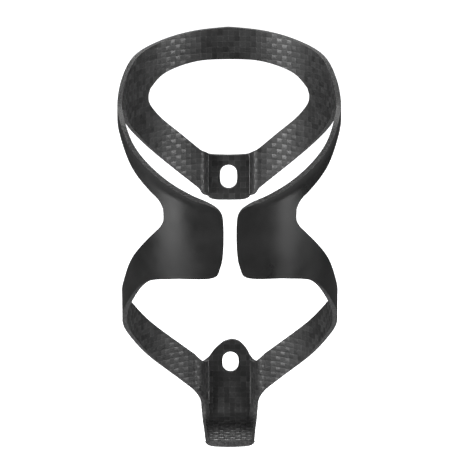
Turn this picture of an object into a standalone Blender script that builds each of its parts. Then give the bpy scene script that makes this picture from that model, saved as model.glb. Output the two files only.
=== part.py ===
"""Water bottle cage: a moulded carbon-fibre shell in fourteen sections.

+Z runs up along the bottle, -Y points from the bicycle frame to the bottle, and +X to the right.
The origin lies on the frame's face, halfway between the two bolts.
Outlines on the cylinder are (angle, height) points: 0 degrees faces the frame, 180 the open front.
"""

import math

import bmesh
import bpy
from mathutils import Matrix

MM = 0.001

# Driving dimensions, in millimetres. A slot is (x, height, width, length).
WALL = 1.6
BOTTLE_AXIS_Y = -39.5
UPPER_RADIUS = 35.8
LOWER_RADIUS = 34.8
RADIUS_CHANGE = (0.0, 30.0)
PLATE_Y = -WALL / 2
UPPER_SLOT = (-0.1, 32.3, 5.75, 8.4)
LOWER_SLOT = (0.35, -32.9, 5.5, 7.3)
LIP_FLARE = 1.3
LIP_WIDTH = 5.5
JOINT_GAP = 0.3

# The side walls of the pads: where they fold up, where they meet the cylinder, and where the arms begin.
FOLD_X = 7.6
WALL_CURVE = 2.2
UPPER_WALL_END = 9.2
LOWER_WALL_END = 11.6
UPPER_ARM_END = 16.2
LOWER_ARM_END = 20.3
EDGE_CLIMB = math.tan(math.radians(15.5))
FLANGE_TOP = -41.2
FLANGE_WIDTH = 9.0
ARCH_LEAN = 0.9

SHELF_BEND = 5.0
SHELF_REACH = 30.2
SHELF_TOP = -52.8
SHELF_RIM = 0.6
SHELF_FRONT_RIM = (1.0, 1.6)
SHELF_CORNER = 3.1
SHELF_BOW = 1.4
SHELF_FOLD_X = 6.2
SHELF_TIP_WIDTH = 7.85
BEND_START = SHELF_TOP + SHELF_BEND

# Outlines as (angle, height).
LOOP_TOP = [(0, 84.5), (20, 83.5), (40, 81.5), (60, 78.5), (75, 73), (90, 66.5)]
LOOP_WINDOW = [(0, 73.7), (16, 73.5), (30, 72), (40, 70), (48, 66.5)]
LOOP_JUNCTION = [(48, 66.5), (85, 64)]
LOOP_CROTCH = [(85, 64), (90, 63)]
ARM_WINDOW = [(48, 66.5), (49.5, 64), (48, 61), (40, 55.7), (28, 49.5), (16.2, 43.1)]
ARM_BELOW = [(85, 64), (77, 63), (70, 57.8), (54, 49.5), (36, 40), (16.2, 29.2)]

# The wing, from the loop round its tip to the lower arm: the edge round the notch, then the outer edge.
WING_NOTCH = [
    (90, 63), (105, 58), (120, 50.5), (134, 45), (140.5, 42.5), (143.5, 40), (144, 38), (144, 36),
    (143.5, 35), (142.5, 34), (140.5, 32.5), (130, 26.5), (118, 19.5), (104, 10), (90, 3),
]
WING_OUTLINE = [
    (90, 66.5), (109, 63.2), (126, 56), (146, 49), (160, 45), (170, 42.5), (175, 40), (176.5, 36),
    (176.4, 27), (174.8, 21.2), (170.5, 18), (150, 16.6), (130, 13.2), (110, 3.5), (90, -6.7),
]
PAD_STARTS, PAD_ENDS, WING_ENDS = 3, 11, 14
LOWER_ARM_ABOVE = [(90, 3), (70, -4.5), (50, -14), (33, -22), (20.3, -28.1)]
LOWER_ARM_BELOW = [(90, -6.7), (70, -15.6), (50, -26), (33, -34.5), (20.3, -41.2)]

# Edges of the pads as (distance from the middle, height). On a side wall the edge also climbs
# by EDGE_CLIMB for each millimetre that the wall comes forward.
UPPER_PAD_TOP = [(0, 39.7), (5, 39.9), (7.6, 40.4), (9.99, 41.9)]
UPPER_PAD_BOTTOM = [(0, 24.3), (5, 24.5), (7.6, 25.8), (9.99, 28.0)]
LOWER_PAD_ARCH = [(0, -24.95), (2.5, -25.7), (4.4, -27.3), (5.7, -28.8), (7.6, -32.2)]
LOWER_WALL_TOP = [(7.6, -32.2), (9.0, -32.9), (10.5, -31.6), (12.07, -29.8)]

CARBON_INSIDE = ("carbon_weave", (0.030, 0.030, 0.032, 1.0), 0.42)
CARBON_OUTSIDE = ("carbon_matte", (0.024, 0.024, 0.025, 1.0), 0.50)


def smoothstep(low, high, value):
    """0 below low, 1 above high and a smooth ramp between."""
    t = min(1.0, max(0.0, (value - low) / (high - low)))
    return t * t * (3 - 2 * t)


def between(a, b, count):
    return [a + (b - a) * i / count for i in range(count + 1)]


def spline(points, position):
    """The point of a Catmull-Rom curve through the points, at a position counted in points."""
    index = min(int(position), len(points) - 2)
    t = position - index
    start, end = points[index], points[index + 1]
    before = points[index - 1] if index else [2 * a - b for a, b in zip(start, end)]
    after = points[index + 2] if index + 2 < len(points) else [2 * b - a for a, b in zip(start, end)]
    return [
        0.5 * (2 * b + (c - a) * t + (2 * a - 5 * b + 4 * c - d) * t**2 + (3 * b - a - 3 * c + d) * t**3)
        for a, b, c, d in zip(before, start, end, after)
    ]


def height_at(points, distance):
    """The height of an outline at a distance along its first coordinate."""
    low, high = 0.0, float(len(points) - 1)
    for _ in range(40):
        middle = (low + high) / 2
        if spline(points, middle)[0] < distance:
            low = middle
        else:
            high = middle
    return spline(points, low)[1]


def cylinder_radius(height):
    """Radius of the middle of the wall: the lower straps sit on a slightly smaller circle."""
    return LOWER_RADIUS + (UPPER_RADIUS - LOWER_RADIUS) * smoothstep(*RADIUS_CHANGE, height)


def on_cylinder(angle, height, outward=0.0):
    radius = cylinder_radius(height) + outward
    turn = math.radians(angle)
    return (radius * math.sin(turn), BOTTLE_AXIS_Y + radius * math.cos(turn), height)


def lip(angle, distance):
    """How far the wing's upper lip leans out, at a distance below its edge."""
    reach = smoothstep(98, 121, angle) * (1 - smoothstep(160, 176, angle))
    return LIP_FLARE * reach * max(0.0, 1 - distance / LIP_WIDTH) ** 2


def strip(side_a, side_b, along, across, start=0, end=None, has_lip=False):
    """Rows of points between two outlines that run side by side on the cylinder."""
    end = len(side_a) - 1 if end is None else end
    rows = []
    for position in between(start, end, along):
        angle_a, height_a = spline(side_a, position)
        angle_b, height_b = spline(side_b, position)
        width = math.hypot(math.radians(angle_b - angle_a) * UPPER_RADIUS, height_b - height_a)
        row = []
        for t in between(0, 1, across):
            angle = angle_a + (angle_b - angle_a) * t
            outward = lip(angle, width * (1 - t)) if has_lip and height_b > 30 else 0.0
            row.append(on_cylinder(angle, height_a + (height_b - height_a) * t, outward))
        rows.append(row)
    return rows


def loop_rows():
    """The band behind the bottle's shoulder, over both sides."""
    outlines = ((between(0, 48, 4), LOOP_WINDOW), (between(48, 85, 4)[1:], LOOP_JUNCTION), ([90], LOOP_CROTCH))
    half = []
    for angles, lower_edge in outlines:
        for angle in angles:
            low, high = height_at(lower_edge, angle), height_at(LOOP_TOP, angle)
            half.append([on_cylinder(angle, z) for z in between(low, high, 3)])
    half = gap_ends(half, 0, JOINT_GAP / 2)
    return mirrored(half)[:-1] + half


def wall_forward(x, z, wall_end):
    """How far a pad's side wall stands forward of its plate: steep at the fold, easing out at the top."""
    across = min(1.0, max(0.0, (x - FOLD_X) / (wall_end - FOLD_X)))
    rise = 1 - (1 - across) ** WALL_CURVE
    round_y = BOTTLE_AXIS_Y + math.sqrt(cylinder_radius(z) ** 2 - x**2)
    return (PLATE_Y - round_y) * rise


def arm_end_x(radius, angle):
    return radius * math.sin(math.radians(angle))


def channel(columns, high, low, wall_end, across):
    """Rows of a mount pad: a flat plate whose two side walls rise to the bottle's cylinder."""
    rows = []
    for x in sorted({-x for x in columns} | set(columns)):
        heights = between(low(x), high(x), across)
        rows.append([(x, PLATE_Y - wall_forward(abs(x), z, wall_end), z) for z in heights])
    return gap_ends(rows, JOINT_GAP / 2, JOINT_GAP / 2)


def upper_pad_rows():
    def edge(outline, x):
        return height_at(outline, abs(x)) + EDGE_CLIMB * wall_forward(abs(x), UPPER_SLOT[1], UPPER_WALL_END)

    columns = between(0, FOLD_X, 3) + [8.0, 8.4, 8.8, UPPER_WALL_END, arm_end_x(UPPER_RADIUS, UPPER_ARM_END)]
    return channel(
        columns, lambda x: edge(UPPER_PAD_TOP, x), lambda x: edge(UPPER_PAD_BOTTOM, x), UPPER_WALL_END, 4
    )


def lower_pad_top(x):
    """The arch leans a little to the right; the side walls' edges are the same on both sides."""
    if abs(x) <= FOLD_X:
        lean = ARCH_LEAN * (1 - (x / FOLD_X) ** 2)
        return height_at(LOWER_PAD_ARCH, abs(x - lean))
    climb = EDGE_CLIMB * wall_forward(abs(x), LOWER_SLOT[1], LOWER_WALL_END)
    return height_at(LOWER_WALL_TOP, abs(x)) + climb


def lower_pad_bottom(x):
    """The pad ends at the shelf's bend, and its side walls narrow in a hollow curve below the arms."""
    wide = arm_end_x(LOWER_RADIUS, LOWER_ARM_END) - FLANGE_WIDTH
    outer = min(1.0, max(0.0, abs(x) - FLANGE_WIDTH) / wide)
    return BEND_START + JOINT_GAP + (FLANGE_TOP - BEND_START - JOINT_GAP) * outer ** (1 / WALL_CURVE)


def lower_pad_rows():
    columns = between(0, FOLD_X, 6) + [7.9, 8.3, FLANGE_WIDTH, 9.3, 10.0, 10.8, LOWER_WALL_END]
    columns.append(arm_end_x(LOWER_RADIUS, LOWER_ARM_END))
    return channel(columns, lower_pad_top, lower_pad_bottom, LOWER_WALL_END, 8)


def shelf_rows():
    """Rows of the bottle shelf: a quarter bend, then a flat tongue."""
    bend_radius = SHELF_BEND + WALL / 2
    centre_y, centre_z = -WALL - SHELF_BEND, SHELF_TOP + SHELF_BEND
    bend_length = bend_radius * math.pi / 2
    rows = []
    for turn in between(0, math.pi / 2, 8):
        row = []
        for x, _, up in shelf_section(bend_radius * turn, 0.0):
            y = centre_y + (bend_radius - up) * math.cos(turn)
            row.append((x, y, centre_z - (bend_radius - up) * math.sin(turn)))
        rows.append(row)
    for t in between(0, 0.9, 5)[1:] + between(0.9, 1, 3)[1:]:
        row = []
        for x, length, up in shelf_section(bend_length, t):
            row.append((x, centre_y - (length + centre_y) * t, centre_z - bend_radius + up))
        rows.append(row)
    return [[(-x, y, z) for x, y, z in row[:0:-1]] + row for row in rows]


def shelf_section(distance, t):
    """(x, the tongue's length there, height above the tongue) across the shelf, from the middle out.

    The distance is measured round the bend, and t runs from 0 to 1 along the tongue.
    """
    distance += (SHELF_REACH - SHELF_BEND) * t
    low = smoothstep(0, 12, distance)
    edge = FLANGE_WIDTH + (SHELF_TIP_WIDTH - FLANGE_WIDTH) * min(1.0, distance / SHELF_REACH)
    fold = FOLD_X - (FOLD_X - SHELF_FOLD_X) * smoothstep(0, 10, distance)
    start_height = wall_forward(FLANGE_WIDTH, BEND_START, LOWER_WALL_END)
    rim = start_height + (SHELF_RIM - start_height) * low
    section = [(x, 0.0) for x in between(0, fold, 3)]
    for across in between(0, 1, 4)[1:]:
        started = FOLD_X + (FLANGE_WIDTH - FOLD_X) * across
        steep = wall_forward(started, BEND_START, LOWER_WALL_END) / start_height
        section.append((fold + (edge - fold) * across, rim * (steep + (across**2 - steep) * low)))
    return [shelf_point(x, up, edge, t) for x, up in section]


def shelf_point(x, up, edge, t):
    """Adds the tongue's bowed front, its round corners and the front lip, which meets the side rims."""
    rim_height, rim_depth = SHELF_FRONT_RIM
    into_corner = max(0.0, x - edge + SHELF_CORNER)
    corner = SHELF_CORNER - math.sqrt(SHELF_CORNER**2 - into_corner**2)
    length = SHELF_REACH - SHELF_BOW * (x / edge) ** 2 - corner
    crown = SHELF_RIM + (rim_height - SHELF_RIM) * (1 - (x / edge) ** 2)
    front = crown * (1 - smoothstep(0, rim_depth, length * (1 - t)))
    return x, length, max(up, front)


def pull_in(rows, gap):
    """Moves the first row towards the second, to leave a joint gap."""
    for j, (edge, inner) in enumerate(zip(rows[0], rows[1])):
        step = gap / math.dist(edge, inner)
        rows[0][j] = tuple(e + (i - e) * step for e, i in zip(edge, inner))
    return rows


def gap_ends(rows, first, last):
    """Pulls in the first and the last row by the gaps given for them."""
    rows = pull_in(rows, first) if first else rows
    return pull_in(rows[::-1], last)[::-1] if last else rows


def mirrored(rows):
    """The same rows on the other side, in reverse order so that the faces keep their front."""
    return [[(-x, y, z) for x, y, z in row] for row in rows[::-1]]


def material(name, color, roughness):
    """A carbon laminate finish."""
    made = bpy.data.materials.get(name) or bpy.data.materials.new(name)
    made.use_nodes = True
    shader = made.node_tree.nodes["Principled BSDF"]
    shader.inputs["Base Color"].default_value = color
    shader.inputs["Roughness"].default_value = roughness
    shader.inputs["Metallic"].default_value = 0.0
    return made


def shell(name, rows, finish, collection, origin=(0, 0, 0)):
    """One section: a grid of faces, thickened about its middle."""
    mesh = bpy.data.meshes.new(name)
    made = bmesh.new()
    grid = [[made.verts.new([c * MM - o for c, o in zip(p, origin)]) for p in row] for row in rows]
    for low, high in zip(grid, grid[1:]):
        for j in range(len(low) - 1):
            made.faces.new((low[j], high[j], high[j + 1], low[j + 1]))
    made.to_mesh(mesh)
    made.free()
    mesh.shade_smooth()
    mesh.set_sharp_from_angle(angle=math.radians(40))
    section = bpy.data.objects.new(name, mesh)
    section.location = origin
    section.data.materials.append(material(*finish))
    collection.objects.link(section)
    thick = section.modifiers.new("wall", "SOLIDIFY")
    thick.thickness = WALL * MM
    thick.offset = 0.0
    thick.use_even_offset = True
    return section


def slot_cutter(name, slot, collection):
    """A prism with round ends that runs through the plate."""
    x, height, width, length = (value * MM for value in slot)
    made = bmesh.new()
    bmesh.ops.create_cone(
        made, cap_ends=True, segments=24, radius1=width / 2, radius2=width / 2, depth=8 * MM,
        matrix=Matrix.Rotation(math.radians(90), 4, "X"),
    )
    for vertex in made.verts:
        vertex.co.z += math.copysign((length - width) / 2, vertex.co.z)
    mesh = bpy.data.meshes.new(name)
    made.to_mesh(mesh)
    made.free()
    cutter = bpy.data.objects.new(name, mesh)
    cutter.location = (x, PLATE_Y * MM, height)
    cutter.hide_render = True
    cutter.display_type = "WIRE"
    collection.objects.link(cutter)
    return cutter


def cut(section, cutter):
    hole = section.modifiers.new("slot", "BOOLEAN")
    hole.operation = "DIFFERENCE"
    hole.solver = "EXACT"
    hole.object = cutter


def hinge_place(side):
    """The line through both attachments of a wing, about which it springs open."""
    sign = 1 if side == "right" else -1
    return (sign * (UPPER_RADIUS + LOWER_RADIUS) / 2 * MM, BOTTLE_AXIS_Y * MM, 0.0)


def wing_hinge(side, collection):
    hinge = bpy.data.objects.new(f"{side}_wing_hinge", None)
    hinge.location = hinge_place(side)
    collection.objects.link(hinge)
    return hinge


def clear_scene():
    for old in list(bpy.data.objects):
        bpy.data.objects.remove(old, do_unlink=True)


def new_collection(name):
    made = bpy.data.collections.new(name)
    bpy.context.scene.collection.children.link(made)
    return made


def build_sides(cage):
    """The arms, and the wings on their hinges."""
    half_gap = JOINT_GAP / 2
    wing = (WING_NOTCH, WING_OUTLINE)
    arms = {
        "upper_arm": gap_ends(strip(ARM_WINDOW, ARM_BELOW, 15, 4), JOINT_GAP, half_gap),
        "lower_arm": gap_ends(strip(LOWER_ARM_ABOVE, LOWER_ARM_BELOW, 16, 3), half_gap, half_gap),
    }
    wing_sections = {
        "upper_strap": gap_ends(strip(*wing, 12, 3, 0, PAD_STARTS, True), half_gap, half_gap),
        "grip_pad": gap_ends(strip(*wing, 24, 6, PAD_STARTS, PAD_ENDS, True), half_gap, half_gap),
        "lower_strap": gap_ends(strip(*wing, 12, 3, PAD_ENDS, WING_ENDS), half_gap, half_gap),
    }
    for side in ("left", "right"):
        hinge = wing_hinge(side, cage)
        for name, rows in arms.items():
            shell(f"{side}_{name}", rows if side == "right" else mirrored(rows), CARBON_INSIDE, cage)
        for name, rows in wing_sections.items():
            rows = rows if side == "right" else mirrored(rows)
            section = shell(f"{side}_{name}", rows, CARBON_OUTSIDE, cage, hinge_place(side))
            section.parent = hinge
            section.location = (0, 0, 0)


def main():
    clear_scene()
    cage = new_collection("bottle_cage")
    cutters = new_collection("cutters")
    shell("rear_loop", loop_rows(), CARBON_INSIDE, cage)
    build_sides(cage)
    upper_pad = shell("upper_mount_pad", upper_pad_rows(), CARBON_INSIDE, cage)
    lower_pad = shell("lower_mount_pad", lower_pad_rows(), CARBON_INSIDE, cage)
    cut(upper_pad, slot_cutter("upper_slot", UPPER_SLOT, cutters))
    cut(lower_pad, slot_cutter("lower_slot", LOWER_SLOT, cutters))
    shell("bottle_shelf", shelf_rows(), CARBON_INSIDE, cage)


main()
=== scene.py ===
"""Looks of the carbon-fibre bottle cage: one continuous moulded shell, split where its sections join.

Outlines on the cylinder are (angle in degrees, height in mm): 0 faces the bicycle frame, 180 the front.
"""

import math

import bmesh
import bpy
from mathutils import Euler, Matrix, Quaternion, Vector
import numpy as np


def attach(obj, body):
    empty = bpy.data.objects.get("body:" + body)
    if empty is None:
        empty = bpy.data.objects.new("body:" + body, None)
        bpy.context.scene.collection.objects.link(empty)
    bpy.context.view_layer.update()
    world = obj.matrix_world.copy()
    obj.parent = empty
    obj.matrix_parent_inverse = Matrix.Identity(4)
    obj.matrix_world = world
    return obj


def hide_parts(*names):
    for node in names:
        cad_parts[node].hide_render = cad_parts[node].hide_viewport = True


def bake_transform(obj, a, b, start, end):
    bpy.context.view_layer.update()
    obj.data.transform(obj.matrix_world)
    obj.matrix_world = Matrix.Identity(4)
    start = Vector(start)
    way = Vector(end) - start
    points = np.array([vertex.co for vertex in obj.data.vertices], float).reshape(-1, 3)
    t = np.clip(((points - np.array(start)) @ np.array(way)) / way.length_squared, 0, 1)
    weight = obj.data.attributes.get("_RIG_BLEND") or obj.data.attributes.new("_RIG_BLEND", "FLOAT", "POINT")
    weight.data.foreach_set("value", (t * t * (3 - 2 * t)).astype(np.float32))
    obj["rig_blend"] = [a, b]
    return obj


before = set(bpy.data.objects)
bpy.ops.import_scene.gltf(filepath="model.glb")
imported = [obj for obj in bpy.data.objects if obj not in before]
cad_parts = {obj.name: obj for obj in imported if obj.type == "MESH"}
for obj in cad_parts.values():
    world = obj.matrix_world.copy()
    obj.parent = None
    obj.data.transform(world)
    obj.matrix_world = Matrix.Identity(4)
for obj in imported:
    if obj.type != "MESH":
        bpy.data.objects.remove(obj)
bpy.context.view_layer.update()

MM = 0.001

# The shell, in millimetres and degrees. A slot is (x, height, width, length).
WALL = 1.6
BOTTLE_AXIS_Y = -39.5
UPPER_RADIUS = 35.8
LOWER_RADIUS = 34.8
RADIUS_CHANGE = (0.0, 30.0)
PLATE_Y = -WALL / 2
UPPER_SLOT = (-0.1, 32.3, 5.75, 8.4)
LOWER_SLOT = (0.35, -32.9, 5.5, 7.3)
LIP_FLARE = 1.3
LIP_WIDTH = 5.5
LIP_RISES = (98, 121)
LIP_FADES = (160, 176)
LIP_LOWEST = 30
EDGE_RADIUS = 0.26
FOLD_RADIUS = 0.5
FOLD_ANGLE = math.radians(45)
MERGE_DISTANCE = 3e-5

# The side walls of the pads: where they fold up, where they meet the cylinder, and where the arms begin.
FOLD_X = 7.6
WALL_CURVE = 2.2
UPPER_WALL_END = 9.2
LOWER_WALL_END = 11.6
UPPER_ARM_END = 16.2
LOWER_ARM_END = 20.3
EDGE_CLIMB = math.tan(math.radians(15.5))
FLANGE_TOP = -41.2
FLANGE_WIDTH = 9.0
ARCH_LEAN = 0.9

SHELF_BEND = 5.0
SHELF_REACH = 30.2
SHELF_TOP = -52.8
SHELF_RIM = 0.6
SHELF_FRONT_RIM = (1.0, 1.6)
SHELF_CORNER = 3.1
SHELF_BOW = 1.4
SHELF_FOLD_X = 6.2
SHELF_TIP_WIDTH = 7.85
BEND_START = SHELF_TOP + SHELF_BEND

# Each wing hinges on this line, and its straps bend over this length in front of it.
HINGE_X = 35.3
STRAP_BEND = 14

# The cloth: width of a tow, share of a tow beside which a painted glint of the resin shows, and a painted
# highlight line along the pads' folds.
TOW = 1.9
RESIN_GLINT_SHARE = 0.16
FOLD_HIGHLIGHT_WIDTH = 0.45
FOLD_HIGHLIGHT_TOP = 45.0
TOW_FLATNESS = 0.14
# Warp tows are painted lighter than weft tows: the weave's pattern, and a painted sheen where the fibres'
# direction catches the light.
WEFT_TONE, WARP_SHEEN_TONE = 0.009, 0.0145
WEFT_ROUGHNESS, WARP_ROUGHNESS = 0.44, 0.27
# The resin lines' tone is a painted glint and the fold lines' tone a painted highlight, both far lighter
# than the cloth.
RESIN_GLINT_TONE, FOLD_HIGHLIGHT_TONE = 0.018, 0.2
SHELF_RELIEF = 5.0
SHELF_RELIEF_STARTS, SHELF_RELIEF_FULL = 4, 10

CAMERA_DISTANCE = 1500 * MM
CAMERA_ELEVATION = math.radians(15.5)
CAMERA_AZIMUTH = math.radians(-0.26)
CAMERA_ROLL = math.radians(-0.165)
CAMERA_AIM = Vector((0.16 * MM, -35.7 * MM, 23.2 * MM))
CAMERA_LENS = 355.7

FLOOR_Z = -0.34
FLOOR_GLOW = 0.62

# The surroundings are bright below and dark above, with a soft change between two heights of direction.
GROUND_BRIGHTNESS, SKY_BRIGHTNESS = 1.2, 0.12
SKY_CHANGE = (-0.95, -0.3)

# A softbox is (name, azimuth, elevation, width and height in metres, watts).
SOFTBOX_DISTANCE = 1.6
SOFTBOXES = (
    ("left_softbox", -60, 12, (0.5, 1.4), 60),
    ("right_softbox", 60, 12, (0.5, 1.4), 44),
    ("back_softbox", 180, 55, (1.0, 0.6), 34),
)

# Outlines as (angle, height).
LOOP_TOP = [(0, 84.5), (20, 83.5), (40, 81.5), (60, 78.5), (75, 73), (90, 66.5)]
LOOP_WINDOW = [(0, 73.7), (16, 73.5), (30, 72), (40, 70), (48, 66.5)]
LOOP_JUNCTION = [(48, 66.5), (85, 64)]
LOOP_CROTCH = [(85, 64), (90, 63)]
ARM_WINDOW = [(48, 66.5), (49.5, 64), (48, 61), (40, 55.7), (28, 49.5), (16.2, 43.1)]
ARM_BELOW = [(85, 64), (77, 63), (70, 57.8), (54, 49.5), (36, 40), (16.2, 29.2)]

# The wing, from the loop round its tip to the lower arm: the edge round the notch, then the outer edge.
WING_NOTCH = [
    (90, 63), (105, 58), (120, 50.5), (134, 45), (140.5, 42.5), (143.5, 40), (144, 38), (144, 36),
    (143.5, 35), (142.5, 34), (140.5, 32.5), (130, 26.5), (118, 19.5), (104, 10), (90, 3),
]
WING_OUTLINE = [
    (90, 66.5), (109, 63.2), (126, 56), (146, 49), (160, 45), (170, 42.5), (175, 40), (176.5, 36),
    (176.4, 27), (174.8, 21.2), (170.5, 18), (150, 16.6), (130, 13.2), (110, 3.5), (90, -6.7),
]
PAD_STARTS, PAD_ENDS, WING_ENDS = 3, 11, 14
LOWER_ARM_ABOVE = [(90, 3), (70, -4.5), (50, -14), (33, -22), (20.3, -28.1)]
LOWER_ARM_BELOW = [(90, -6.7), (70, -15.6), (50, -26), (33, -34.5), (20.3, -41.2)]

# Edges of the pads as (distance from the middle, height). On a side wall the edge also climbs
# by EDGE_CLIMB for each millimetre that the wall comes forward.
UPPER_PAD_TOP = [(0, 39.7), (5, 39.9), (7.6, 40.4), (9.99, 41.9)]
UPPER_PAD_BOTTOM = [(0, 24.3), (5, 24.5), (7.6, 25.8), (9.99, 28.0)]
LOWER_PAD_ARCH = [(0, -24.95), (2.5, -25.7), (4.4, -27.3), (5.7, -28.8), (7.6, -32.2)]
LOWER_WALL_TOP = [(7.6, -32.2), (9.0, -32.9), (10.5, -31.6), (12.07, -29.8)]

SECTIONS = [
    "rear_loop", "left_upper_arm", "right_upper_arm", "upper_mount_pad",
    "left_upper_strap", "right_upper_strap", "left_grip_pad", "right_grip_pad",
    "left_lower_strap", "right_lower_strap", "left_lower_arm", "right_lower_arm",
    "lower_mount_pad", "bottle_shelf",
]
CENTRAL = ("rear_loop", "upper_mount_pad", "lower_mount_pad", "bottle_shelf")

# A face's finish: 0 on the side that faces the bottle, then these two.
OUTSIDE, RIM = 1, 2
FINISHES = 3

# Faces across and along the sections.
STRAP_ROWS = 8
ARM_ROWS = 10
WALL_ROWS = 8
FLANGE_ROWS = 5
ALONG_LOOP, ALONG_CROTCH = 20, 2
ALONG_UPPER_ARM, ALONG_STRAP, ALONG_PAD, ALONG_LOWER_ARM = 36, 28, 64, 40


def smoothstep(low, high, value):
    """0 below low, 1 above high and a smooth ramp between."""
    t = min(1.0, max(0.0, (value - low) / (high - low)))
    return t * t * (3 - 2 * t)


def spline(points, position):
    """The point of a Catmull-Rom curve through the points, at a position counted in points."""
    index = min(int(position), len(points) - 2)
    t = position - index
    start, end = points[index], points[index + 1]
    before = points[index - 1] if index else [2 * a - b for a, b in zip(start, end)]
    after = points[index + 2] if index + 2 < len(points) else [2 * b - a for a, b in zip(start, end)]
    return [
        0.5 * (2 * b + (c - a) * t + (2 * a - 5 * b + 4 * c - d) * t**2 + (3 * b - a - 3 * c + d) * t**3)
        for a, b, c, d in zip(before, start, end, after)
    ]


def height_at(points, distance):
    """The height of an outline at a distance along its first coordinate."""
    low, high = 0.0, float(len(points) - 1)
    for _ in range(40):
        middle = (low + high) / 2
        if spline(points, middle)[0] < distance:
            low = middle
        else:
            high = middle
    return spline(points, low)[1]


def between(a, b, count):
    return [a + (b - a) * i / count for i in range(count + 1)]


def cylinder_radius(height):
    """Radius of the middle of the wall: the lower straps sit on a slightly smaller circle."""
    return LOWER_RADIUS + (UPPER_RADIUS - LOWER_RADIUS) * smoothstep(*RADIUS_CHANGE, height)


class Point:
    """A point of the shell's middle surface, with its place on the flat cloth in mm."""

    def __init__(self, x, y, z, u, v):
        self.place = (x, y, z)
        self.cloth = (u, v)

    def mirrored(self):
        x, y, z = self.place
        return Point(-x, y, z, -self.cloth[0], self.cloth[1])


def on_cylinder(angle, height, outward=0.0):
    radius = cylinder_radius(height) + outward
    turn = math.radians(angle)
    return Point(
        radius * math.sin(turn), BOTTLE_AXIS_Y + radius * math.cos(turn), height, UPPER_RADIUS * turn, height
    )


def lip(angle, distance):
    """How far the wing's upper lip leans out, at a distance below its edge."""
    reach = smoothstep(*LIP_RISES, angle) * (1 - smoothstep(*LIP_FADES, angle))
    return LIP_FLARE * reach * max(0.0, 1 - distance / LIP_WIDTH) ** 2


def strip(side_a, side_b, along, across, start=0, end=None, has_lip=False):
    """Rows of points between two outlines that run side by side on the cylinder."""
    end = len(side_a) - 1 if end is None else end
    rows = []
    for position in between(start, end, along):
        angle_a, height_a = spline(side_a, position)
        angle_b, height_b = spline(side_b, position)
        width = math.hypot(math.radians(angle_b - angle_a) * UPPER_RADIUS, height_b - height_a)
        row = []
        for t in between(0, 1, across):
            angle = angle_a + (angle_b - angle_a) * t
            outward = lip(angle, width * (1 - t)) if has_lip and height_b > LIP_LOWEST else 0.0
            row.append(on_cylinder(angle, height_a + (height_b - height_a) * t, outward))
        rows.append(row)
    return rows


def wall_rise(x, wall_end):
    """0 on the plate and 1 on the cylinder: steep at the fold, easing out at the top."""
    across = min(1.0, max(0.0, (x - FOLD_X) / (wall_end - FOLD_X)))
    return 1 - (1 - across) ** WALL_CURVE


def wall_forward(x, z, wall_end):
    """How far a pad's side wall stands forward of its plate."""
    round_y = BOTTLE_AXIS_Y + math.sqrt(cylinder_radius(z) ** 2 - x**2)
    return (PLATE_Y - round_y) * wall_rise(x, wall_end)


def wall_point(x, z, wall_end):
    forward = wall_forward(x, z, wall_end)
    return Point(x, PLATE_Y - forward, z, x + forward, z)


def wall_edge(outline, x, z, wall_end):
    """The height of an outline on a side wall, where the edge climbs as the wall comes forward."""
    return height_at(outline, x) + EDGE_CLIMB * wall_forward(x, z, wall_end)


def arm_end_x(radius, angle):
    return radius * math.sin(math.radians(angle))


# Distances from the middle of the pads' grid lines, closer together where the walls curve most.
UPPER_WALL_COLUMNS = [FOLD_X, 7.8, 8.05, 8.35, 8.7, UPPER_WALL_END, arm_end_x(UPPER_RADIUS, UPPER_ARM_END)]
LOWER_WALL_EDGE = arm_end_x(LOWER_RADIUS, LOWER_ARM_END)
RIM_STEPS = [0.0, 0.2, 0.35, 0.5, 0.66, 0.83, 1.0]
PLATE_COLUMNS = between(-FOLD_X, FOLD_X, 12)


def flange_edge(z):
    """How far out the pad's side wall reaches below the arm."""
    t = min(1.0, max(0.0, (FLANGE_TOP - z) / (FLANGE_TOP - BEND_START)))
    return FLANGE_WIDTH + (LOWER_WALL_EDGE - FLANGE_WIDTH) * (1 - t) ** WALL_CURVE


def rim_columns(edge, fold=FOLD_X):
    """Distances from the middle between a fold and an edge, closer together near the fold of a wide wall."""
    wide = min(1.0, max(0.0, (edge - FLANGE_WIDTH) / (LOWER_WALL_EDGE - FLANGE_WIDTH)))
    return [fold + (edge - fold) * step ** (1.2 + 0.6 * wide) for step in RIM_STEPS]


def loop_part(lower_edge, along):
    """Rows of the loop over the stretch that one of its lower edges spans."""
    rows = []
    for angle in between(lower_edge[0][0], lower_edge[-1][0], along):
        low, high = height_at(lower_edge, angle), height_at(LOOP_TOP, angle)
        rows.append([on_cylinder(angle, z) for z in between(low, high, STRAP_ROWS)])
    return rows


def side_patches():
    """The patches of the right half, as (section, rows)."""
    wing = (WING_NOTCH, WING_OUTLINE)
    return [
        ("rear_loop", loop_part(LOOP_WINDOW, ALONG_LOOP)),
        ("rear_loop", loop_part(LOOP_JUNCTION, ARM_ROWS)),
        ("rear_loop", loop_part(LOOP_CROTCH, ALONG_CROTCH)),
        ("upper_arm", strip(ARM_WINDOW, ARM_BELOW, ALONG_UPPER_ARM, ARM_ROWS)),
        ("upper_strap", strip(*wing, ALONG_STRAP, STRAP_ROWS, 0, PAD_STARTS, True)),
        ("grip_pad", strip(*wing, ALONG_PAD, STRAP_ROWS, PAD_STARTS, PAD_ENDS, True)),
        ("lower_strap", strip(*wing, ALONG_STRAP, STRAP_ROWS, PAD_ENDS, WING_ENDS)),
        ("lower_arm", strip(LOWER_ARM_ABOVE, LOWER_ARM_BELOW, ALONG_LOWER_ARM, WALL_ROWS)),
        ("upper_mount_pad", upper_wall()[::-1]),
        ("lower_mount_pad", lower_wall()[::-1]),
        ("lower_mount_pad", flange()),
        ("bottle_shelf", shelf_half()),
    ]


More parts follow.
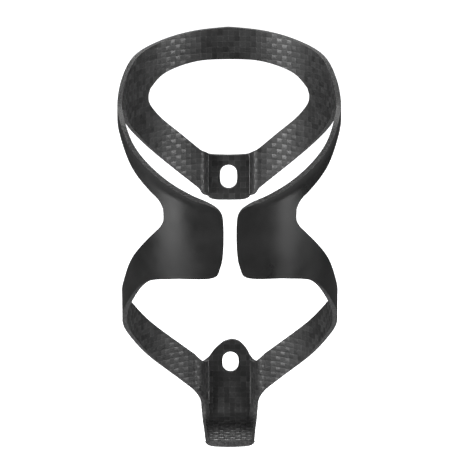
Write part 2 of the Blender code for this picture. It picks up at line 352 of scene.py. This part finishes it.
def upper_wall():
    """The upper pad's side wall, from its fold to the arm."""
    rows = []
    for x in UPPER_WALL_COLUMNS:
        high = wall_edge(UPPER_PAD_TOP, x, UPPER_SLOT[1], UPPER_WALL_END)
        low = wall_edge(UPPER_PAD_BOTTOM, x, UPPER_SLOT[1], UPPER_WALL_END)
        rows.append([wall_point(x, z, UPPER_WALL_END) for z in between(high, low, ARM_ROWS)])
    return rows


def lower_wall():
    """The lower pad's side wall, from its fold to the arm."""
    rows = []
    for x in rim_columns(LOWER_WALL_EDGE):
        high = wall_edge(LOWER_WALL_TOP, x, LOWER_SLOT[1], LOWER_WALL_END)
        rows.append([wall_point(x, z, LOWER_WALL_END) for z in between(high, FLANGE_TOP, WALL_ROWS)])
    return rows


def slot_ring(outline, slot, rings):
    """Rows from a plate's outline in to the edge of its slot, one row per outline point."""
    centre_x, centre_z, width, length = slot
    radius, straight = width / 2, (length - width) / 2
    rows = []
    for x, z in outline + outline[:1]:
        toward = math.atan2((z - centre_z) * width / length, x - centre_x)
        edge_x = centre_x + radius * math.cos(toward)
        edge_z = centre_z + radius * math.sin(toward) + straight * max(-1.0, min(1.0, math.sin(toward) * 3))
        row = []
        for t in between(0, 1, rings):
            px, pz = x + (edge_x - x) * t, z + (edge_z - z) * t
            row.append(Point(px, PLATE_Y, pz, px, pz))
        rows.append(row)
    return rows


def upper_plate():
    """The upper pad's flat plate, round its slot."""
    top = [(x, height_at(UPPER_PAD_TOP, abs(x))) for x in between(-FOLD_X, FOLD_X, 16)]
    bottom = [(x, height_at(UPPER_PAD_BOTTOM, abs(x))) for x in between(FOLD_X, -FOLD_X, 16)]
    side = between(top[0][1], bottom[0][1], ARM_ROWS)[1:-1]
    right = [(FOLD_X, z) for z in side]
    left = [(-FOLD_X, z) for z in side[::-1]]
    return slot_ring(top + right + bottom + left, UPPER_SLOT, 6)


def arch_height(x):
    """The lower pad's arched top leans a little to the right."""
    lean = ARCH_LEAN * (1 - (x / FOLD_X) ** 2)
    return height_at(LOWER_PAD_ARCH, abs(x - lean))


def lower_plate():
    """The lower pad's flat plate, round its slot, down to the start of the shelf's bend."""
    top = [(x, arch_height(x)) for x in between(-FOLD_X, FOLD_X, 20)]
    wall = between(top[0][1], FLANGE_TOP, WALL_ROWS)
    side = (wall + between(FLANGE_TOP, BEND_START, FLANGE_ROWS)[1:])[1:-1]
    bottom = [(x, BEND_START) for x in PLATE_COLUMNS[::-1]]
    right = [(FOLD_X, z) for z in side]
    left = [(-FOLD_X, z) for z in side[::-1]]
    return slot_ring(top + right + bottom + left, LOWER_SLOT, 7)


def flange():
    """The pad's side wall below the arm, down to the start of the shelf's bend."""
    rows = []
    for z in between(FLANGE_TOP, BEND_START, FLANGE_ROWS):
        rows.append([wall_point(x, z, LOWER_WALL_END) for x in rim_columns(flange_edge(z))])
    return rows


def shelf_half():
    """Rows of the shelf from its middle out to its turned-up rim: first the bend, then the tongue."""
    bend_radius = SHELF_BEND + WALL / 2
    centre_y, centre_z = -WALL - SHELF_BEND, SHELF_TOP + SHELF_BEND
    bend_length = bend_radius * math.pi / 2
    rows = []
    for turn in between(0, math.pi / 2, 12):
        row = []
        for x, _, up in shelf_section(bend_radius * turn, 0.0):
            y = centre_y + (bend_radius - up) * math.cos(turn)
            z = centre_z - (bend_radius - up) * math.sin(turn)
            row.append(Point(x, y, z, x, BEND_START - bend_radius * turn))
        rows.append(row)
    for t in between(0, 0.9, 18)[1:] + between(0.9, 1, 5)[1:]:
        row = []
        for x, length, up in shelf_section(bend_length, t):
            forward = (length + centre_y) * t
            place = (x, centre_y - forward, centre_z - bend_radius + up)
            row.append(Point(*place, x, BEND_START - bend_length - forward))
        rows.append(row)
    return rows


def shelf_section(distance, t):
    """(x, the tongue's length there, height above the tongue) across the shelf, from the middle out.

    The distance is measured round the bend, and t runs from 0 to 1 along the tongue.
    """
    distance += (SHELF_REACH - SHELF_BEND) * t
    low = smoothstep(0, 12, distance)
    edge = FLANGE_WIDTH + (SHELF_TIP_WIDTH - FLANGE_WIDTH) * min(1.0, distance / SHELF_REACH)
    fold = FOLD_X - (FOLD_X - SHELF_FOLD_X) * smoothstep(0, 10, distance)
    start_height = wall_forward(FLANGE_WIDTH, BEND_START, LOWER_WALL_END)
    rim = start_height + (SHELF_RIM - start_height) * low
    section = [(x * fold / FOLD_X, 0.0) for x in PLATE_COLUMNS[len(PLATE_COLUMNS) // 2:]]
    for x, started in zip(rim_columns(edge, fold)[1:], rim_columns(FLANGE_WIDTH)[1:]):
        steep = wall_forward(started, BEND_START, LOWER_WALL_END) / start_height
        gentle = ((x - fold) / (edge - fold)) ** 2
        section.append((x, rim * (steep + (gentle - steep) * low)))
    return [shelf_point(x, up, edge, t) for x, up in section]


def shelf_point(x, up, edge, t):
    """Adds the tongue's bowed front, its round corners and the front lip, which meets the side rims."""
    rim_height, rim_depth = SHELF_FRONT_RIM
    into_corner = max(0.0, x - edge + SHELF_CORNER)
    corner = SHELF_CORNER - math.sqrt(SHELF_CORNER**2 - into_corner**2)
    length = SHELF_REACH - SHELF_BOW * (x / edge) ** 2 - corner
    crown = SHELF_RIM + (rim_height - SHELF_RIM) * (1 - (x / edge) ** 2)
    front = crown * (1 - smoothstep(0, rim_depth, length * (1 - t)))
    return x, length, max(up, front)


def add_patch(made, layer, rows, section):
    """A grid of faces. Its material index holds the section until the shell is split."""
    grid = [[made.verts.new([c * MM for c in p.place]) for p in row] for row in rows]
    for i in range(len(grid) - 1):
        for j in range(len(grid[i]) - 1):
            corners = ((i, j), (i, j + 1), (i + 1, j + 1), (i + 1, j))
            face = made.faces.new([grid[a][b] for a, b in corners])
            face.material_index = FINISHES * SECTIONS.index(section)
            face.smooth = True
            for loop, (a, b) in zip(face.loops, corners):
                loop[layer].uv = rows[a][b].cloth


def both_sides(rows):
    """The patch and its mirror image, whose rows run the other way so that both face the bottle."""
    return rows, [[p.mirrored() for p in row] for row in rows[::-1]]


def build_shell():
    """The middle surface of the whole cage: patches that share the points of their borders."""
    made = bmesh.new()
    layer = made.loops.layers.uv.new("cloth")
    for name, rows in side_patches():
        right, left = both_sides(rows)
        add_patch(made, layer, right, name if name in CENTRAL else "right_" + name)
        add_patch(made, layer, left, name if name in CENTRAL else "left_" + name)
    add_patch(made, layer, upper_plate(), "upper_mount_pad")
    add_patch(made, layer, lower_plate(), "lower_mount_pad")
    bmesh.ops.remove_doubles(made, verts=made.verts, dist=MERGE_DISTANCE)
    return made


def thicken(made):
    """The closed shell, with rounded folds and edges."""
    bmesh.ops.recalc_face_normals(made, faces=made.faces)
    face_bottle(made)
    mesh = bpy.data.meshes.new("shell")
    made.to_mesh(mesh)
    made.free()
    for _ in range(FINISHES * len(SECTIONS)):
        mesh.materials.append(None)
    shell = bpy.data.objects.new("shell", mesh)
    bpy.context.scene.collection.objects.link(shell)
    wall = shell.modifiers.new("wall", "SOLIDIFY")
    wall.thickness = WALL * MM
    wall.offset = 0.0
    wall.use_even_offset = True
    wall.material_offset = OUTSIDE
    wall.material_offset_rim = RIM
    apply_modifiers(shell)
    round_edges(shell, is_fold, FOLD_RADIUS)
    round_edges(shell, is_rim_edge, EDGE_RADIUS)
    shell.modifiers.new("shading", "WEIGHTED_NORMAL")
    apply_modifiers(shell)
    final = shell.data
    bpy.data.objects.remove(shell)
    return final


def round_edges(shell, chosen, width):
    """Bevels the edges that the chosen test picks."""
    made = bmesh.new()
    made.from_mesh(shell.data)
    layers = made.edges.layers.float
    weight = layers.get("bevel_weight_edge") or layers.new("bevel_weight_edge")
    for edge in made.edges:
        edge[weight] = 1.0 if len(edge.link_faces) == 2 and chosen(edge) else 0.0
    made.to_mesh(shell.data)
    made.free()
    bevel = shell.modifiers.new("rounding", "BEVEL")
    bevel.limit_method = "WEIGHT"
    bevel.width = width * MM
    bevel.segments = 3
    apply_modifiers(shell)


def is_fold(edge):
    """Whether the wall folds sharply here."""
    sides = {face.material_index % FINISHES for face in edge.link_faces}
    return len(sides) == 1 and RIM not in sides and edge.calc_face_angle() > FOLD_ANGLE


def is_rim_edge(edge):
    """Whether the trimmed rim meets one of the wall's two sides here."""
    sides = {face.material_index % FINISHES for face in edge.link_faces}
    return len(sides) == 2 and RIM in sides


def apply_modifiers(obj):
    graph = bpy.context.evaluated_depsgraph_get()
    made = bpy.data.meshes.new_from_object(obj.evaluated_get(graph), depsgraph=graph)
    obj.modifiers.clear()
    obj.data = made


def face_bottle(made):
    """Turns the whole surface so that its front faces the bottle."""
    face = min(made.faces, key=lambda f: abs(f.calc_center_median().x) - f.calc_center_median().z)
    if face.normal.y > 0:
        bmesh.ops.reverse_faces(made, faces=made.faces)


def keep_normals(mesh):
    """Stores the corner normals as an attribute that survives the split into sections."""
    normals = mesh.attributes.new("shell_normal", "FLOAT_VECTOR", "CORNER")
    for corner, item in zip(mesh.corner_normals, normals.data):
        item.vector = corner.vector


def section_mesh(shell, index):
    """One section of the shell, closed where it joins its neighbours."""
    made = bmesh.new()
    made.from_mesh(shell)
    others = [face for face in made.faces if face.material_index // FINISHES != index]
    bmesh.ops.delete(made, geom=others, context="FACES")
    for face in made.faces:
        face.material_index %= FINISHES
    normal = made.loops.layers.float_vector["shell_normal"]
    open_edges = [edge for edge in made.edges if edge.is_boundary]
    caps = bmesh.ops.holes_fill(made, edges=open_edges, sides=0)["faces"]
    for face in caps:
        face.material_index = RIM
        face.smooth = False
        corner = face.loops[0]
        if corner.link_loop_radial_next.vert == corner.vert:
            face.normal_flip()
    caps = bmesh.ops.triangulate(made, faces=caps)["faces"]
    for face in caps:
        for loop in face.loops:
            loop[normal] = face.normal
    mesh = bpy.data.meshes.new(SECTIONS[index])
    made.to_mesh(mesh)
    made.free()
    stored = mesh.attributes["shell_normal"]
    mesh.normals_split_custom_set([item.vector[:] for item in stored.data])
    mesh.attributes.remove(mesh.attributes["shell_normal"])
    return mesh


class Nodes:
    """A material's nodes, made and linked in short calls."""

    def __init__(self, material):
        self.tree = material.node_tree
        self.tree.nodes.clear()

    def add(self, kind, inputs=(), **settings):
        node = self.tree.nodes.new(kind)
        for name, value in settings.items():
            setattr(node, name, value)
        for key, value in dict(inputs).items():
            self.join(value, node.inputs[key])
        return node

    def join(self, value, socket):
        if isinstance(value, bpy.types.NodeSocket):
            self.tree.links.new(value, socket)
        else:
            socket.default_value = value

    def math(self, operation, a, b=0.0, c=0.0):
        return self.add("ShaderNodeMath", {0: a, 1: b, 2: c}, operation=operation).outputs[0]

    def mix(self, factor, a, b):
        return self.add("ShaderNodeMix", {"Factor": factor, "A": a, "B": b}, data_type="FLOAT").outputs[0]

    def noise(self, place, scale, detail=2.0, roughness=0.5):
        inputs = {"Vector": place, "Scale": scale, "Detail": detail, "Roughness": roughness}
        return self.add("ShaderNodeTexNoise", inputs).outputs["Fac"]

    def grey(self, value):
        return self.add("ShaderNodeCombineColor", {0: value, 1: value, 2: value}).outputs[0]


def new_material(name, colour, roughness, specular=0.5):
    """A material in one grey, with its nodes and its shader for what is added to it."""
    material = bpy.data.materials.new(name)
    material.use_nodes = True
    nodes = Nodes(material)
    output = nodes.add("ShaderNodeOutputMaterial")
    shader = nodes.add("ShaderNodeBsdfPrincipled", {"Roughness": roughness, "Specular IOR Level": specular})
    shader.inputs["Base Color"].default_value = (colour, colour, colour * 1.02, 1)
    nodes.join(shader.outputs[0], output.inputs[0])
    return material, nodes, shader


def weave_height(nodes):
    """A plain weave: its height, which tow is on top, a random value for each crossing, and a painted glint
    on the resin between tows.
    """
    place = nodes.add("ShaderNodeUVMap", uv_map="cloth").outputs[0]
    axes = nodes.add("ShaderNodeSeparateXYZ", {0: place})
    across = nodes.math("DIVIDE", axes.outputs[0], TOW)
    along = nodes.math("DIVIDE", axes.outputs[1], TOW)
    column, row = nodes.math("FLOOR", across), nodes.math("FLOOR", along)
    warp_on_top = nodes.math("FLOORED_MODULO", nodes.math("ADD", column, row), 2.0)
    hump_x = nodes.math("SINE", nodes.math("MULTIPLY", nodes.math("FRACT", across), math.pi))
    hump_y = nodes.math("SINE", nodes.math("MULTIPLY", nodes.math("FRACT", along), math.pi))
    flat_x = nodes.math("POWER", hump_x, TOW_FLATNESS)
    flat_y = nodes.math("POWER", hump_y, TOW_FLATNESS)
    warp = nodes.math("MULTIPLY", flat_x, nodes.math("MULTIPLY_ADD", hump_y, 0.5, 0.5))
    weft = nodes.math("MULTIPLY", flat_y, nodes.math("MULTIPLY_ADD", hump_x, 0.25, 0.7))
    cell = nodes.add("ShaderNodeCombineXYZ", {0: column, 1: row}).outputs[0]
    chance = nodes.add("ShaderNodeTexWhiteNoise", {0: cell}, noise_dimensions="2D").outputs["Value"]
    border = nodes.math("LESS_THAN", nodes.mix(warp_on_top, hump_y, hump_x), RESIN_GLINT_SHARE)
    resin_glint_line = nodes.math("MULTIPLY", border, chance)
    return nodes.mix(warp_on_top, weft, warp), warp_on_top, chance, resin_glint_line, place


def painted_fold_highlight(nodes, place):
    """1 on the thin line along the folds of the two mount pads where a highlight is painted into the colour.
    """
    axes = nodes.add("ShaderNodeSeparateXYZ", {0: place})
    from_middle = nodes.math("ABSOLUTE", axes.outputs[0])
    off_fold = nodes.math("ABSOLUTE", nodes.math("SUBTRACT", from_middle, FOLD_X))
    line = nodes.math("LESS_THAN", off_fold, FOLD_HIGHLIGHT_WIDTH / 2)
    below_loop = nodes.math("LESS_THAN", axes.outputs[1], FOLD_HIGHLIGHT_TOP)
    above_shelf = nodes.math("GREATER_THAN", axes.outputs[1], BEND_START)
    on_pads = nodes.math("MULTIPLY", below_loop, above_shelf)
    return nodes.math("MULTIPLY", line, on_pads)


def shelf_relief(nodes, place):
    """How much coarser the cloth lies on the shelf than on the pressed walls."""
    height = nodes.add("ShaderNodeSeparateXYZ", {0: place}).outputs[1]
    full, starts = BEND_START - SHELF_RELIEF_FULL, BEND_START - SHELF_RELIEF_STARTS
    change = {0: height, 1: full, 2: starts, 3: SHELF_RELIEF, 4: 1.0}
    return nodes.add("ShaderNodeMapRange", change).outputs[0]


def weave_material():
    """Bare plain-weave carbon cloth in matte resin, seen on the side that faces the bottle."""
    material, nodes, shader = new_material("carbon_weave_cloth", 0.012, 0.36, 0.3)
    height, warp_on_top, chance, resin_glint_line, place = weave_height(nodes)
    fibres = nodes.noise(place, 9.0, 3.0)
    # Warp lighter than weft: the weave's pattern plus a painted sheen of the fibre direction.
    tone = nodes.mix(warp_on_top, WEFT_TONE, WARP_SHEEN_TONE)
    tone = nodes.math("MULTIPLY", tone, nodes.math("MULTIPLY_ADD", chance, 0.7, 0.65))
    tone = nodes.math("MULTIPLY", tone, nodes.math("MULTIPLY_ADD", fibres, 0.8, 0.6))
    # A painted glint on the resin beside a random share of the tows.
    tone = nodes.math("MULTIPLY_ADD", resin_glint_line, RESIN_GLINT_TONE, tone)
    # A painted highlight along the pads' folds, much lighter than the cloth.
    tone = nodes.math("MULTIPLY_ADD", painted_fold_highlight(nodes, place), FOLD_HIGHLIGHT_TONE, tone)
    nodes.join(nodes.grey(tone), shader.inputs["Base Color"])
    roughness = nodes.mix(warp_on_top, WEFT_ROUGHNESS, WARP_ROUGHNESS)
    roughness = nodes.math("MULTIPLY_ADD", chance, 0.06, roughness)
    nodes.join(nodes.math("MULTIPLY_ADD", fibres, 0.08, roughness), shader.inputs["Roughness"])
    relief = nodes.math("MULTIPLY", height, shelf_relief(nodes, place))
    relief = nodes.math("MULTIPLY_ADD", fibres, 0.12, relief)
    bump = nodes.add("ShaderNodeBump", {"Strength": 0.7, "Distance": 0.00012, "Height": relief})
    nodes.join(bump.outputs[0], shader.inputs["Normal"])
    return material


def matte_material():
    """Smooth matte resin over the laminate, with the faint mottling of moulded carbon."""
    material, nodes, shader = new_material("carbon_matte_resin", 0.004, 0.38, 0.2)
    place = nodes.add("ShaderNodeTexCoord").outputs["Object"]
    clouds = nodes.noise(place, 60.0, 4.0, 0.6)
    grain = nodes.noise(place, 2600.0, 2.0)
    tone = nodes.math("MULTIPLY", clouds, 0.009)
    tone = nodes.math("MULTIPLY_ADD", grain, 0.004, tone)
    nodes.join(nodes.grey(tone), shader.inputs["Base Color"])
    nodes.join(nodes.math("MULTIPLY_ADD", clouds, 0.55, 0.09), shader.inputs["Roughness"])
    bump = nodes.add("ShaderNodeBump", {"Strength": 0.25, "Distance": 0.00003, "Height": grain})
    nodes.join(bump.outputs[0], shader.inputs["Normal"])
    return material


def cut_edge_material():
    """The trimmed edge: rough, with cut tow ends as light and dark dots."""
    material, nodes, shader = new_material("carbon_cut_edge", 0.006, 0.6, 0.2)
    place = nodes.add("ShaderNodeTexCoord").outputs["Object"]
    dots = nodes.add("ShaderNodeTexVoronoi", {"Vector": place, "Scale": 1500.0}).outputs["Distance"]
    grit = nodes.noise(place, 2200.0, 3.0)
    tone = nodes.math("MULTIPLY_ADD", dots, 0.03, 0.002)
    tone = nodes.math("MULTIPLY", tone, nodes.math("MULTIPLY_ADD", grit, 1.0, 0.5))
    nodes.join(nodes.grey(tone), shader.inputs["Base Color"])
    relief = nodes.math("ADD", dots, grit)
    bump = nodes.add("ShaderNodeBump", {"Strength": 0.6, "Distance": 0.00015, "Height": relief})
    nodes.join(bump.outputs[0], shader.inputs["Normal"])
    return material


def place_section(index, shell, finishes):
    """One section as a piece of its own. The straps bend between the fixed part and their wing."""
    name = SECTIONS[index]
    mesh = section_mesh(shell, index)
    for material in finishes:
        mesh.materials.append(material)
    piece = bpy.data.objects.new(name + "_shell", mesh)
    bpy.context.scene.collection.objects.link(piece)
    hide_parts(name)
    wing = name.split("_")[0] + "_wing"
    if name.endswith("_grip_pad"):
        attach(piece, wing)
    elif name.endswith("_strap"):
        side = -1 if name.startswith("left") else 1
        hinge_x = side * HINGE_X * MM
        start = (hinge_x, BOTTLE_AXIS_Y * MM, 0.0)
        end = (hinge_x, (BOTTLE_AXIS_Y - STRAP_BEND) * MM, 0.0)
        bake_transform(piece, "root", wing, start=start, end=end)
    else:
        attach(piece, "root")


def add_camera():
    """A long lens in front of the cage, a little above it."""
    camera = bpy.data.objects.new("camera", bpy.data.cameras.new("camera"))
    bpy.context.scene.collection.objects.link(camera)
    level = CAMERA_DISTANCE * math.cos(CAMERA_ELEVATION)
    above = CAMERA_DISTANCE * math.sin(CAMERA_ELEVATION)
    away = Vector((level * math.sin(CAMERA_AZIMUTH), -level * math.cos(CAMERA_AZIMUTH), above))
    camera.location = CAMERA_AIM + away
    level_view = Euler((math.pi / 2 - CAMERA_ELEVATION, 0, CAMERA_AZIMUTH)).to_quaternion()
    camera.rotation_euler = (level_view @ Quaternion((0, 0, 1), CAMERA_ROLL)).to_euler()
    camera.data.lens = CAMERA_LENS
    camera.data.clip_start = 0.05
    bpy.context.scene.camera = camera


def add_softbox(name, azimuth, elevation, size, power):
    """A soft rectangular light. Azimuth 0 is in front of the cage, positive to the right."""
    light = bpy.data.objects.new(name, bpy.data.lights.new(name, "AREA"))
    bpy.context.scene.collection.objects.link(light)
    light.data.shape = "RECTANGLE"
    light.data.size, light.data.size_y = size
    light.data.energy = power
    turn, rise = math.radians(azimuth), math.radians(elevation)
    away = Vector((math.sin(turn) * math.cos(rise), -math.cos(turn) * math.cos(rise), math.sin(rise)))
    target = Vector((0, BOTTLE_AXIS_Y * MM, 0))
    light.location = target + away * SOFTBOX_DISTANCE
    light.rotation_euler = away.to_track_quat("Z", "Y").to_euler()


def add_floor():
    """A pale floor well below the cage, which hangs on its bolts. The cage doesn't reflect it."""
    mesh = bpy.data.meshes.new("floor")
    made = bmesh.new()
    bmesh.ops.create_grid(made, x_segments=1, y_segments=1, size=12.0)
    made.to_mesh(mesh)
    made.free()
    floor = bpy.data.objects.new("floor", mesh)
    floor.location.z = FLOOR_Z
    floor.visible_glossy = False
    bpy.context.scene.collection.objects.link(floor)
    material, nodes, shader = new_material("pale_floor", 0.9, 0.9)
    shader.inputs["Emission Color"].default_value = (1, 1, 1, 1)
    shader.inputs["Emission Strength"].default_value = FLOOR_GLOW
    mesh.materials.append(material)


def add_studio():
    """Soft surroundings and the softboxes."""
    world = bpy.data.worlds.new("studio")
    world.use_nodes = True
    nodes = Nodes(world)
    direction = nodes.add("ShaderNodeTexCoord").outputs["Generated"]
    height = nodes.add("ShaderNodeSeparateXYZ", {0: direction}).outputs[2]
    change = {0: height, 1: SKY_CHANGE[0], 2: SKY_CHANGE[1]}
    upward = nodes.add("ShaderNodeMapRange", change, interpolation_type="SMOOTHSTEP")
    brightness = nodes.mix(upward.outputs[0], GROUND_BRIGHTNESS, SKY_BRIGHTNESS)
    background = nodes.add("ShaderNodeBackground", {"Strength": brightness})
    output = nodes.add("ShaderNodeOutputWorld")
    nodes.join(background.outputs[0], output.inputs[0])
    bpy.context.scene.world = world
    for softbox in SOFTBOXES:
        add_softbox(*softbox)
    bpy.context.scene.view_settings.view_transform = "Standard"


def main():
    shell = thicken(build_shell())
    keep_normals(shell)
    finishes = (weave_material(), matte_material(), cut_edge_material())
    for index in range(len(SECTIONS)):
        place_section(index, shell, finishes)
    add_floor()
    add_camera()
    add_studio()


main()
